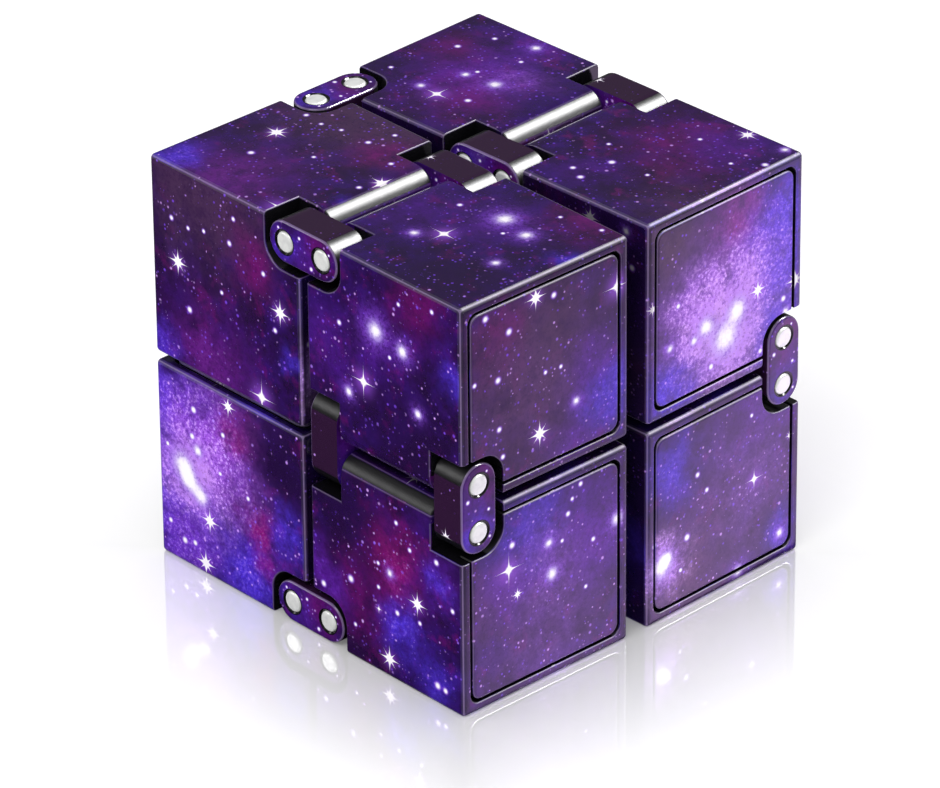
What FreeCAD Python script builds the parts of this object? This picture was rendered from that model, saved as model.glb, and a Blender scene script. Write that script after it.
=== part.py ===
"""Folding infinity cube: eight hollow cubes joined in a closed ring by eight two-pin links."""
import FreeCAD, Part
import math
import os
import Sketcher

# Driving dimensions, in millimetres and degrees. Each one is a cell of the spreadsheet.
DIMENSIONS = {
    "cube_side": 19.6,
    "cube_gap": 0.8,
    "edge_round": 0.45,
    "hinge_round": 1.9,
    "mouth_round": 0.15,
    "wall": 2.0,
    "hinge_block": 6.2,
    "cover_thick": 1.6,
    "cover_rim": 0.9,
    "cover_groove": 0.28,
    "cover_corner": 1.0,
    "cover_round": 0.25,
    "lip_thick": 1.0,
    "lip_height": 1.4,
    "lip_clearance": 0.1,
    "boss_outer": 3.0,
    "boss_inner": 1.8,
    "weight_side": 11.0,
    "weight_height": 6.5,
    "weight_clearance": 0.15,
    "weight_chamfer": 0.5,
    "pin_spacing": 4.7,
    "pin_depth": 2.1,
    "pin_radius": 1.0,
    "pin_running": 0.05,
    "pin_press": 0.01,
    "pin_recess": 0.04,
    "pin_round": 0.3,
    "split_pin_gap": 0.1,
    "link_width": 4.0,
    "plate_thick": 3.5,
    "plate_recess": 0.1,
    "plate_round": 0.25,
    "plate_countersink": 0.15,
    "notch_axial": 4.05,
    "open_relief": 1.5,
    "notch_across": 4.45,
    "notch_depth": 4.9,
    "notch_round": 2.3,
    "overcut": 1.0,
    "book_angle": 2.3,
}

X, Y, Z = FreeCAD.Vector(1, 0, 0), FreeCAD.Vector(0, 1, 0), FreeCAD.Vector(0, 0, 1)

doc = FreeCAD.newDocument("InfinityCube")


class Size:
    """A length that carries its value in millimetres and the spreadsheet formula it comes from."""

    def __init__(self, value, formula):
        self.value = value
        self.formula = formula

    def __add__(self, other):
        other = as_size(other)
        return Size(self.value + other.value, f"({self.formula} + {other.formula})")

    def __sub__(self, other):
        other = as_size(other)
        return Size(self.value - other.value, f"({self.formula} - {other.formula})")

    def __mul__(self, factor):
        return Size(self.value * factor, f"({factor} * {self.formula})")

    __rmul__ = __mul__

    def __neg__(self):
        return self * -1


def as_size(number):
    """Plain numbers join a formula as they are."""
    return number if isinstance(number, Size) else Size(float(number), str(float(number)))


def make_sheet():
    """Writes the driving dimensions to the spreadsheet and returns them as sizes."""
    sheet = doc.addObject("Spreadsheet::Sheet", "Sheet")
    for row, (name, value) in enumerate(DIMENSIONS.items(), start=1):
        sheet.set(f"A{row}", name)
        sheet.set(f"B{row}", str(value))
        sheet.setAlias(f"B{row}", name)
    doc.recompute()
    return {name: Size(float(sheet.get(name)), f"Sheet.{name}") for name in DIMENSIONS}


SIZE = make_sheet()
HALF = SIZE["cube_side"] * 0.5
PIN_SEAM = (SIZE["pin_spacing"] - SIZE["cube_gap"]) * 0.5
CENTRE_TO_MIDDLE = (SIZE["cube_gap"] + SIZE["cube_side"]) * 0.5
CENTRE_TO_PIN = SIZE["cube_gap"] * 0.5 + SIZE["cube_side"] - SIZE["pin_depth"]


# ---------------------------------------------------------------- sketches and features

def drive(thing, prop, size):
    """Binds a property to its spreadsheet formula."""
    thing.setExpression(prop, size.formula)


def new_body(label):
    body = doc.addObject("PartDesign::Body", label)
    body.Label = label
    return body


def new_sketch(body, plane, offset=None):
    """A sketch on one of the body's own origin planes, moved along the plane's normal."""
    sketch = body.newObject("Sketcher::SketchObject", "Sketch")
    support = [item for item in body.Origin.OriginFeatures if item.Role == plane][0]
    sketch.AttachmentSupport = [(support, "")]
    sketch.MapMode = "FlatFace"
    if offset is not None:
        drive(sketch, ".AttachmentOffset.Base.z", offset)
    return sketch


def constrain(sketch, kind, *args, size=None):
    """Adds a constraint, bound to the spreadsheet where it has a size."""
    if size is None:
        sketch.addConstraint(Sketcher.Constraint(kind, *args))
        return
    index = sketch.addConstraint(Sketcher.Constraint(kind, *args, size.value))
    sketch.setExpression(f"Constraints[{index}]", size.formula)


def point(across, up):
    return FreeCAD.Vector(across, up, 0)


def add_arc(sketch, centre, radius, begin, end):
    """An arc from begin to end; returns its index and the vertex numbers of those two points."""
    def angle(place):
        return math.atan2(place.y - centre.y, place.x - centre.x)
    circle = Part.Circle(centre, Z, radius)
    turn = (angle(end) - angle(begin)) % (2 * math.pi)
    if turn <= math.pi + 1e-6:
        return sketch.addGeometry(Part.ArcOfCircle(circle, angle(begin), angle(end))), 1, 2
    return sketch.addGeometry(Part.ArcOfCircle(circle, angle(end), angle(begin))), 2, 1


def outline(sketch, corners):
    """A closed outline of level and upright lines; a corner may carry a radius."""
    spots = [point(across.value, up.value) for across, up, _ in corners]
    count = len(corners)
    begins, ends = [], []
    for index, (_, _, radius) in enumerate(corners):
        reach = radius.value if radius else 0.0
        here, before, after = spots[index], spots[index - 1], spots[(index + 1) % count]
        ends.append(here + (before - here).normalize() * reach)
        begins.append(here + (after - here).normalize() * reach)
    lines = []
    for index in range(count):
        following = (index + 1) % count
        lines.append(sketch.addGeometry(Part.LineSegment(begins[index], ends[following])))
        upright = abs(begins[index].x - ends[following].x) < 1e-6
        constrain(sketch, "Vertical" if upright else "Horizontal", lines[-1])
    for index, (across, up, radius) in enumerate(corners):
        before, after = lines[index - 1], lines[index]
        if radius:
            centre = ends[index] + begins[index] - spots[index]
            arc, first, last = add_arc(sketch, centre, radius.value, ends[index], begins[index])
            constrain(sketch, "Tangent", before, 2, arc, first)
            constrain(sketch, "Tangent", arc, last, after, 1)
            constrain(sketch, "Radius", arc, size=radius)
        else:
            constrain(sketch, "Coincident", before, 2, after, 1)
        upright = abs(begins[index].x - ends[(index + 1) % count].x) < 1e-6
        kind, size = ("DistanceX", across) if upright else ("DistanceY", up)
        constrain(sketch, kind, -1, 1, after, 1, size=size)


def circle(sketch, across, up, radius):
    """A circle whose centre is dimensioned from the sketch origin."""
    shape = Part.Circle(point(across.value, up.value), Z, radius.value)
    index = sketch.addGeometry(shape)
    constrain(sketch, "Radius", index, size=radius)
    for kind, size in (("DistanceX", across), ("DistanceY", up)):
        if abs(size.value) > 1e-9:
            constrain(sketch, kind, -1, 1, index, 3, size=size)
        else:
            constrain(sketch, "PointOnObject", index, 3, -2 if kind == "DistanceX" else -1)


def stadium(sketch, half_length, radius):
    """Two half circles, centred half_length each side of the origin, joined by tangent lines."""
    reach, round_end = half_length.value, radius.value
    right, bottom_right, top_right = add_arc(
        sketch, point(reach, 0), round_end, point(reach, -round_end), point(reach, round_end))
    left, top_left, bottom_left = add_arc(
        sketch, point(-reach, 0), round_end, point(-reach, round_end), point(-reach, -round_end))
    top = sketch.addGeometry(
        Part.LineSegment(point(reach, round_end), point(-reach, round_end)))
    bottom = sketch.addGeometry(
        Part.LineSegment(point(-reach, -round_end), point(reach, -round_end)))
    constrain(sketch, "Tangent", right, top_right, top, 1)
    constrain(sketch, "Tangent", top, 2, left, top_left)
    constrain(sketch, "Tangent", left, bottom_left, bottom, 1)
    constrain(sketch, "Tangent", bottom, 2, right, bottom_right)
    constrain(sketch, "Radius", right, size=radius)
    constrain(sketch, "PointOnObject", right, 3, -1)
    constrain(sketch, "PointOnObject", left, 3, -1)
    constrain(sketch, "DistanceX", -1, 1, right, 3, size=half_length)
    constrain(sketch, "DistanceX", -1, 1, left, 3, size=-half_length)


def pad(body, sketch, length, both_ways=False, backwards=False):
    feature = body.newObject("PartDesign::Pad", "Pad")
    feature.Profile = sketch
    feature.Midplane = both_ways
    feature.Reversed = backwards
    drive(feature, "Length", length)
    doc.recompute()
    return feature


def pocket(body, sketch, depth, upwards=False):
    """Cuts against the sketch's normal, or along it, and makes sure that material went."""
    before = body.Shape.Volume
    feature = body.newObject("PartDesign::Pocket", "Pocket")
    feature.Profile = sketch
    feature.Reversed = upwards
    drive(feature, "Length", depth)
    doc.recompute()
    if not feature.Shape.Volume < before - 1e-3:
        raise RuntimeError(f"{body.Label}: a pocket removed nothing")
    return feature


def dress(body, kind, size_name, size, feature, chosen):
    """A fillet or chamfer on the edges of the last feature that pass the test."""
    names = [f"Edge{n}" for n, edge in enumerate(feature.Shape.Edges, start=1) if chosen(edge)]
    result = body.newObject(f"PartDesign::{kind}", kind)
    result.Base = (feature, names)
    drive(result, size_name, size)
    doc.recompute()
    return result


def middle(edge):
    return edge.valueAt((edge.FirstParameter + edge.LastParameter) * 0.5)


def in_outer_face(edge):
    """Whether an edge lies wholly in one of the six outer faces of a cube."""
    box = edge.BoundBox
    spans = ((box.XMin, box.XMax), (box.YMin, box.YMax), (box.ZMin, box.ZMax))
    return any(high - low < 1e-4 and abs(abs(low) - HALF.value) < 1e-4 for low, high in spans)


def is_sharp(shape, edge):
    """Whether the two faces beside an edge meet at an angle."""
    faces = shape.ancestorsOfType(edge, Part.Face)
    if len(faces) != 2:
        return False
    at = middle(edge)
    normals = [face.normalAt(*face.Surface.parameter(at)) for face in faces]
    return normals[0].getAngle(normals[1]) > 0.5


def round_mouths(body):
    """Rounds the sharp edges that the cuts left in the outer faces."""
    cut = body.Tip
    dress(body, "Fillet", "Radius", SIZE["mouth_round"], cut,
          lambda edge: in_outer_face(edge) and is_sharp(cut.Shape, edge))


# ---------------------------------------------------------------- one small cube

class Hinge:
    """Where a hinge lies in a cube's own frame.

    across points through the seam to the neighbour and out through the face the fold closes on.
    plane is the sketch plane square to the pin, and spot turns (across, out) into its axes.
    """

    def __init__(self, plane, spot, edge_test):
        self.plane = plane
        self.spot = spot
        self.edge_test = edge_test


def cover_side_hinge(hand):
    """The hinge whose pin runs square to the cover: out is +X and across is +Y or -Y."""
    return Hinge(
        "XY_Plane",
        lambda across, out: (out, across * hand),
        lambda at: at.x > 0 and at.y * hand > 0 and abs(at.z) < 1e-6)


def base_side_hinge(hand, base_is_seam):
    """The hinge along the cube's base, opposite the cover."""
    if base_is_seam:
        return Hinge(
            "YZ_Plane",
            lambda across, out: (out * -hand, across * -1),
            lambda at: at.y * hand < 0 and at.z < 0 and abs(at.x) < 1e-6)
    return Hinge(
        "XZ_Plane",
        lambda across, out: (across * -1, out * -1),
        lambda at: at.x < 0 and at.z < 0 and abs(at.y) < 1e-6)


def corner(hinge, across, out, radius=None):
    return (*hinge.spot(across, out), radius)


def notch_outline(hinge):
    """The cut that a link plate lies in, open to the seam and to the outer face."""
    seam_edge, far_edge = HALF + SIZE["overcut"], HALF - SIZE["notch_across"]
    face_edge, deep_edge = HALF + SIZE["overcut"], HALF - SIZE["notch_depth"]
    return [
        corner(hinge, seam_edge, face_edge),
        corner(hinge, far_edge, face_edge),
        corner(hinge, far_edge, deep_edge, SIZE["notch_round"]),
        corner(hinge, seam_edge, deep_edge),
    ]


def cut_hinge(body, hinge, near_depth):
    """Cuts the notches at both ends of a hinge edge and the bore for its pin."""
    for end, depth, upwards in ((HALF, near_depth, False), (-HALF, SIZE["notch_axial"], True)):
        sketch = new_sketch(body, hinge.plane, end)
        outline(sketch, notch_outline(hinge))
        pocket(body, sketch, depth, upwards)
    sketch = new_sketch(body, hinge.plane, HALF)
    across, up = hinge.spot(HALF - PIN_SEAM, HALF - SIZE["pin_depth"])
    circle(sketch, across, up, SIZE["pin_radius"] + SIZE["pin_running"])
    pocket(body, sketch, SIZE["cube_side"])


def square_corners(inset, radius=None):
    reach = HALF - inset
    signs = ((1, 1), (-1, 1), (-1, -1), (1, -1))
    return [(reach * across, reach * up, radius) for across, up in signs]


def well_outline(hand, inset, block):
    """The inside of the walls, less the corner column that holds the cover-side hinge."""
    reach, step = HALF - inset, HALF - block
    return [
        (reach, step * hand, None),
        (step, step * hand, None),
        (step, reach * hand, None),
        (-reach, reach * hand, None),
        (-reach, -reach * hand, None),
        (reach, -reach * hand, None),
    ]


def deep_outline(hand, base_is_seam):
    """The well below the top of the base-side hinge block, which takes one side of it."""
    reach, step = HALF - SIZE["wall"], HALF - SIZE["hinge_block"]
    if base_is_seam:
        low_x, low_y = -reach, -step
    else:
        low_x, low_y = -step, -reach
    return [
        (reach, step * hand, None),
        (step, step * hand, None),
        (step, reach * hand, None),
        (low_x, reach * hand, None),
        (low_x, low_y * hand, None),
        (reach, low_y * hand, None),
    ]


def make_shell(label, hand, base_is_seam, near_depth):
    """A moulded cube, open on its cover side, with two hinge edges.

    near_depth is how deep the cover-side hinge's notch runs from the cover face.
    """
    body = new_body(label)
    hinges = [cover_side_hinge(hand), base_side_hinge(hand, base_is_seam)]
    sketch = new_sketch(body, "XY_Plane")
    outline(sketch, square_corners(as_size(0)))
    block = pad(body, sketch, SIZE["cube_side"], both_ways=True)
    block = dress(body, "Fillet", "Radius", SIZE["hinge_round"], block,
                  lambda edge: any(hinge.edge_test(middle(edge)) for hinge in hinges))
    dress(body, "Fillet", "Radius", SIZE["edge_round"], block, is_plain_edge)
    top = new_sketch(body, "XY_Plane", HALF)
    outline(top, square_corners(SIZE["cover_rim"], SIZE["cover_corner"]))
    pocket(body, top, SIZE["cover_thick"])
    well = new_sketch(body, "XY_Plane", HALF)
    outline(well, well_outline(hand, SIZE["wall"], SIZE["hinge_block"]))
    pocket(body, well, SIZE["cube_side"] - SIZE["hinge_block"])
    deep = new_sketch(body, "XY_Plane", HALF)
    outline(deep, deep_outline(hand, base_is_seam))
    pocket(body, deep, SIZE["cube_side"] - SIZE["wall"])
    for hinge, depth in zip(hinges, (near_depth, SIZE["notch_axial"])):
        cut_hinge(body, hinge, depth)
    round_mouths(body)
    return body


def is_plain_edge(edge):
    """A straight edge of the block where two flat faces meet at right angles."""
    if edge.Curve.TypeId != "Part::GeomLine":
        return False
    at = middle(edge)
    outer = [abs(value) > HALF.value - 1e-6 for value in (at.x, at.y, at.z)]
    return sum(outer) == 2


def make_cover(label, hand):
    """The inset panel, with a lip that finds the well and a boss that holds the weight down."""
    body = new_body(label)
    underside = HALF - SIZE["cover_thick"]
    panel = new_sketch(body, "XY_Plane", underside)
    outline(panel, square_corners(SIZE["cover_rim"] + SIZE["cover_groove"], SIZE["cover_corner"]))
    plate = pad(body, panel, SIZE["cover_thick"])
    dress(body, "Fillet", "Radius", SIZE["cover_round"], plate,
          lambda edge: edge.BoundBox.ZMin > HALF.value - 1e-6)
    lip = new_sketch(body, "XY_Plane", underside)
    inset = SIZE["wall"] + SIZE["lip_clearance"]
    block = SIZE["hinge_block"] + SIZE["lip_clearance"]
    outline(lip, well_outline(hand, inset, block))
    outline(lip, well_outline(hand, inset + SIZE["lip_thick"], block + SIZE["lip_thick"]))
    pad(body, lip, SIZE["lip_height"], backwards=True)
    boss = new_sketch(body, "XY_Plane", underside)
    zero = as_size(0)
    circle(boss, zero, zero, SIZE["boss_outer"])
    circle(boss, zero, zero, SIZE["boss_inner"])
    pad(body, boss, underside + HALF - SIZE["wall"] - SIZE["weight_height"], backwards=True)
    notch = new_sketch(body, "XY_Plane", HALF)
    outline(notch, notch_outline(cover_side_hinge(hand)))
    pocket(body, notch, SIZE["notch_axial"])
    round_mouths(body)
    return body


def make_weight(label, hand, base_is_seam):
    """A chamfered steel block on the floor of the well, between the hinge blocks."""
    body = new_body(label)
    near = HALF - SIZE["hinge_block"] - SIZE["weight_clearance"]
    far = near - SIZE["weight_side"]
    side = 1 if base_is_seam else -1
    sketch = new_sketch(body, "XY_Plane", SIZE["wall"] - HALF)
    outline(sketch, [
        (near * side, near * (-hand * side), None),
        (far * side, near * (-hand * side), None),
        (far * side, far * (-hand * side), None),
        (near * side, far * (-hand * side), None),
    ])
    block = pad(body, sketch, SIZE["weight_height"])
    dress(body, "Chamfer", "Size", SIZE["weight_chamfer"], block, lambda edge: True)
    return body


# ---------------------------------------------------------------- one link

def make_plate(label):
    """A link plate: rounded ends, two pressed pin holes, outer face up."""
    body = new_body(label)
    top = HALF - SIZE["plate_recess"]
    sketch = new_sketch(body, "XY_Plane", top)
    stadium(sketch, SIZE["pin_spacing"] * 0.5, SIZE["link_width"] * 0.5)
    blank = pad(body, sketch, SIZE["plate_thick"], backwards=True)
    dress(body, "Fillet", "Radius", SIZE["plate_round"], blank,
          lambda edge: edge.BoundBox.ZMin > top.value - 1e-6)
    holes = new_sketch(body, "XY_Plane", top)
    for side in (1, -1):
        circle(holes, SIZE["pin_spacing"] * (0.5 * side), as_size(0), SIZE["pin_radius"] - SIZE["pin_press"])
    bored = pocket(body, holes, SIZE["plate_thick"])
    bore = SIZE["pin_radius"].value - SIZE["pin_press"].value
    dress(body, "Chamfer", "Size", SIZE["plate_countersink"], bored,
          lambda edge: edge.BoundBox.ZMin > top.value - 1e-6 and is_round(edge, bore))
    return body


def is_round(edge, radius):
    return edge.Curve.TypeId == "Part::GeomCircle" and abs(edge.Curve.Radius - radius) < 1e-6


def make_pin(label, lengths, side):
    """A steel pin, or the pieces of a split one: spans along the axis, rounded at outer ends."""
    body = new_body(label)
    face = HALF.value - SIZE["pin_recess"].value
    for low, high in lengths:
        sketch = new_sketch(body, "XY_Plane", low)
        circle(sketch, SIZE["pin_spacing"] * (0.5 * side), as_size(0), SIZE["pin_radius"])
        solid = pad(body, sketch, high - low)
    if any(abs(high.value - face) < 1e-6 for _, high in lengths):
        dress(body, "Fillet", "Radius", SIZE["pin_round"], solid,
              lambda edge: abs(middle(edge).z) > face - 1e-6)
    return body


# ---------------------------------------------------------------- where everything goes

def frame(origin, right, up):
    """A placement whose own X and Z axes are right and up."""
    forward = up.cross(right)
    matrix = FreeCAD.Matrix(
        right.x, forward.x, up.x, origin.x,
        right.y, forward.y, up.y, origin.y,
        right.z, forward.z, up.z, origin.z,
        0, 0, 0, 1)
    return FreeCAD.Placement(matrix)


def turn_about(at, angle):
    """A turn about an upright axis."""
    return FreeCAD.Placement(FreeCAD.Vector(0, 0, 0), FreeCAD.Rotation(Z, angle), at)


# name: (side along X, Y and Z, cover direction, outer face of the cover-side hinge)
CUBES = {
    "front_left_upper": ((-1, -1, 1), -Z, -X),
    "front_right_upper": ((1, -1, 1), X, -Y),
    "front_left_lower": ((-1, -1, -1), Z, -X),
    "front_right_lower": ((1, -1, -1), X, -Y),
    "rear_left_upper": ((-1, 1, 1), -Z, -X),
    "rear_right_upper": ((1, 1, 1), X, Y),
    "rear_left_lower": ((-1, 1, -1), Z, -X),
    "rear_right_lower": ((1, 1, -1), X, Y),
}

# The cube at the pivot where the ring is opened. Its notch there is deeper by the relief.
OPEN_CUBE = "rear_left_upper"

# name: (direction across the seam, direction out of the fold, side along the pin)
HINGES = {
    "top_front_hinge": (-X, Z, -1),
    "top_rear_hinge": (-X, Z, 1),
    "bottom_front_hinge": (X, -Z, -1),
    "bottom_rear_hinge": (X, -Z, 1),
    "left_upper_hinge": (Y, -X, 1),
    "left_lower_hinge": (Y, -X, -1),
    "front_hinge": (Z, -Y, 1),
    "rear_hinge": (Z, Y, 1),
}


def rest_turns():
    """How far the rear half stands open: its links turn half as far as its cubes."""
    step = SIZE["book_angle"].value * 0.5
    reach, spread = -CENTRE_TO_PIN.value, SIZE["pin_spacing"].value * 0.5
    link = turn_about(FreeCAD.Vector(reach, -spread, 0), step)
    cubes = link.multiply(turn_about(FreeCAD.Vector(reach, spread, 0), step))
    return link, cubes


LINK_TURN, REAR_TURN = rest_turns()
STILL = FreeCAD.Placement()


def place_cube(name):
    sides, cover, out = CUBES[name]
    offset = CENTRE_TO_MIDDLE.value
    centre = FreeCAD.Vector(*[side * offset for side in sides])
    turned = REAR_TURN if sides[1] > 0 else STILL
    return turned.multiply(frame(centre, out, cover))


def hand_of(name):
    """+1 where the cover-side hinge's neighbour lies along the cube's own +Y, else -1."""
    sides, cover, out = CUBES[name]
    inwards = FreeCAD.Vector(*sides) * -1
    return round(cover.cross(out).dot(inwards))


def place_hinge(name):
    across, out, side = HINGES[name]
    pin = across.cross(out)
    origin = out * CENTRE_TO_PIN.value + along_axis(pin) * (side * CENTRE_TO_MIDDLE.value)
    turned = STILL
    if name.startswith("left"):
        turned = LINK_TURN
    elif "rear" in name:
        turned = REAR_TURN
    return turned.multiply(frame(origin, across, pin))


def along_axis(direction):
    """The same line, pointing the positive way."""
    return FreeCAD.Vector(*[abs(value) for value in direction])


def make_cubes():
    placed = {}
    for name, (sides, cover, _) in CUBES.items():
        hand = hand_of(name)
        base_is_seam = sides[0] > 0
        near_depth = SIZE["notch_axial"]
        if name == OPEN_CUBE:
            near_depth = near_depth + SIZE["open_relief"]
        made = [
            make_shell(f"{name}_shell", hand, base_is_seam, near_depth),
            make_cover(f"{name}_cover", hand),
            make_weight(f"{name}_weight", hand, base_is_seam),
        ]
        placed.update({body: place_cube(name) for body in made})
    return placed


def make_hinges():
    face = HALF - SIZE["pin_recess"]
    plate_inside = HALF - SIZE["plate_recess"] - SIZE["plate_thick"]
    barrel = HALF - SIZE["notch_axial"] - SIZE["split_pin_gap"]
    flip = FreeCAD.Placement(FreeCAD.Vector(0, 0, 0), FreeCAD.Rotation(X, 180))
    placed = {}
    for name in HINGES:
        at = place_hinge(name)
        placed[make_plate(f"{name}_plate_1")] = at
        placed[make_plate(f"{name}_plate_2")] = at.multiply(flip)
        placed[make_pin(f"{name}_pin_1", [(-face, face)], -1)] = at
        if name != "left_upper_hinge":
            placed[make_pin(f"{name}_pin_2", [(-face, face)], 1)] = at
    # The ring is opened at this pin: its middle turns with the cube and its ends with the plates.
    # The middle is shorter at the end where the cube's notch has the relief.
    at = place_hinge("left_upper_hinge")
    middle_turn = REAR_TURN.multiply(LINK_TURN.inverse())
    span = (SIZE["open_relief"] - barrel, barrel)
    placed[make_pin("left_upper_hinge_pin_2", [span], 1)] = middle_turn.multiply(at)
    ends = [(-face, -plate_inside), (plate_inside, face)]
    placed[make_pin("left_upper_hinge_pin_2_ends", ends, 1)] = at
    return placed


def check(bodies):
    """Stops if any object failed or any sub-part is not a valid solid."""
    for thing in doc.Objects:
        if any(state in ("Invalid", "Error") for state in thing.State):
            raise RuntimeError(f"{thing.Label}: {thing.State}")
    for body in bodies:
        if body.Shape.isNull() or not body.Shape.isValid() or body.Shape.Volume <= 0:
            raise RuntimeError(f"{body.Label}: bad shape")


def base_centre(bodies):
    """The middle of the assembly's footprint, at its lowest level."""
    overall = FreeCAD.BoundBox()
    for body in bodies:
        overall.add(body.Shape.optimalBoundingBox(False))
    return FreeCAD.Vector(overall.Center.x, overall.Center.y, overall.ZMin)


def main():
    placed = {**make_cubes(), **make_hinges()}
    for body, placement in placed.items():
        body.Placement = placement
    doc.recompute()
    origin = base_centre(placed)
    for body, placement in placed.items():
        body.Placement = FreeCAD.Placement(-origin, FreeCAD.Rotation()).multiply(placement)
    doc.recompute()
    check(placed)
    os.makedirs("parts", exist_ok=True)
    for body in placed:
        body.Shape.exportStep(f"parts/{body.Label}.step")
    print(f"{len(placed)} sub-parts, base centre at {origin}")


main()
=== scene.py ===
"""Looks of the folding galaxy cube: printed plastic cubes, links and steel pins around the CAD frame."""
import math

import bpy
from mathutils import Matrix, Vector


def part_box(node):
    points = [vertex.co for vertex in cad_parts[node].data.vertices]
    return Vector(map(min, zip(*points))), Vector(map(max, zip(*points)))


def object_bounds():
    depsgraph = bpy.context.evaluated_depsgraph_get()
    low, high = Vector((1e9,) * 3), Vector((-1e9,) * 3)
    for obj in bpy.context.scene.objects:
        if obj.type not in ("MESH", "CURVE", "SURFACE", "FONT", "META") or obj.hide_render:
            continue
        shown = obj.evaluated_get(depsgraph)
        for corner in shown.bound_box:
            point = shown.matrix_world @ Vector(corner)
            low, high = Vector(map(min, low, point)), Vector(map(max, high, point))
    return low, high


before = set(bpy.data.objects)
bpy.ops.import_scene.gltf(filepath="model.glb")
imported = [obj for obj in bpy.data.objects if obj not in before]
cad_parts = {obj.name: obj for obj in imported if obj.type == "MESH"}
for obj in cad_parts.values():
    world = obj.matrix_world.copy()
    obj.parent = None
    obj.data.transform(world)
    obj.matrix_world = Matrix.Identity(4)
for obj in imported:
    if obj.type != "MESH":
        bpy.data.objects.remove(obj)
CAD_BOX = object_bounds()

MM = 0.001

# ---------------------------------------------------------------- the object, in millimetres

SIDE = 19.6
HALF = SIDE / 2
PIN_SPREAD = 2.35
HINGE_ROUND = 1.9
COVER_RIM = 0.9
REAR_TURN = math.radians(2.3)
LINK_TURN = REAR_TURN / 2

# Each cube: which side of the middle it is on, the tile on its X faces and the tile on the others.
CUBES = {
    "front_left_upper": ((-1, -1, 1), "quiet", "dusk"),
    "front_right_upper": ((1, -1, 1), "two_spikes", "twin_glow"),
    "front_left_lower": ((-1, -1, -1), "cluster", "drift"),
    "front_right_lower": ((1, -1, -1), "cluster", "ember"),
    "rear_left_upper": ((-1, 1, 1), "two_spikes", "rose"),
    "rear_right_upper": ((1, 1, 1), "blaze", "plum"),
    "rear_left_lower": ((-1, 1, -1), "ember", "twin_glow"),
    "rear_right_lower": ((1, 1, -1), "quiet", "drift"),
}

# Each hinge: the way its links reach across the seam, the way their pins run, and how far it is turned
# at rest.
HINGES = {
    "top_front_hinge": ("X", "Y", 0),
    "bottom_front_hinge": ("X", "Y", 0),
    "top_rear_hinge": ("X", "Y", REAR_TURN),
    "bottom_rear_hinge": ("X", "Y", REAR_TURN),
    "left_upper_hinge": ("Y", "Z", LINK_TURN),
    "left_lower_hinge": ("Y", "Z", LINK_TURN),
    "front_hinge": ("Z", "X", 0),
    "rear_hinge": ("Z", "X", REAR_TURN),
}
AXES = {"X": 0, "Y": 1, "Z": 2}

# ---------------------------------------------------------------- colours


def linear(value):
    """One part of a colour on the usual 0 to 255 scale, as the light that it gives back."""
    share = value / 255
    return share / 12.92 if share <= 0.04045 else ((share + 0.055) / 1.055) ** 2.4


def paint(red, green, blue):
    return (linear(red), linear(green), linear(blue), 1.0)


NIGHT = paint(33, 11, 58)
INDIGO = paint(46, 14, 98)
VIOLET = paint(92, 28, 160)
BLUE = paint(76, 46, 212)
MAGENTA = paint(104, 12, 100)
CERISE = paint(138, 18, 116)
GRAPE = paint(94, 26, 124)
PLUM = paint(68, 42, 76)
SMOKE = paint(82, 48, 94)
LILAC = paint(106, 60, 150)
IRIS = paint(114, 56, 204)
AURA = paint(138, 72, 222)
ORCHID = paint(158, 84, 230)
PINK = paint(222, 168, 246)
WHITE = paint(252, 246, 255)
FLECK = paint(214, 160, 254)
DUST = paint(122, 70, 232)
# A painted highlight for the rounded edges.
EDGE = paint(136, 116, 158)
# Painted shade for the faces in the seams and the frames round the covers.
SHADE = paint(13, 6, 30)
PLATE = paint(44, 20, 50)
BLACK = paint(14, 13, 17)
STEEL = (0.86, 0.87, 0.85, 1.0)
WEIGHT_STEEL = (0.42, 0.43, 0.45, 1.0)

# ---------------------------------------------------------------- the print, in millimetres

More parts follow.
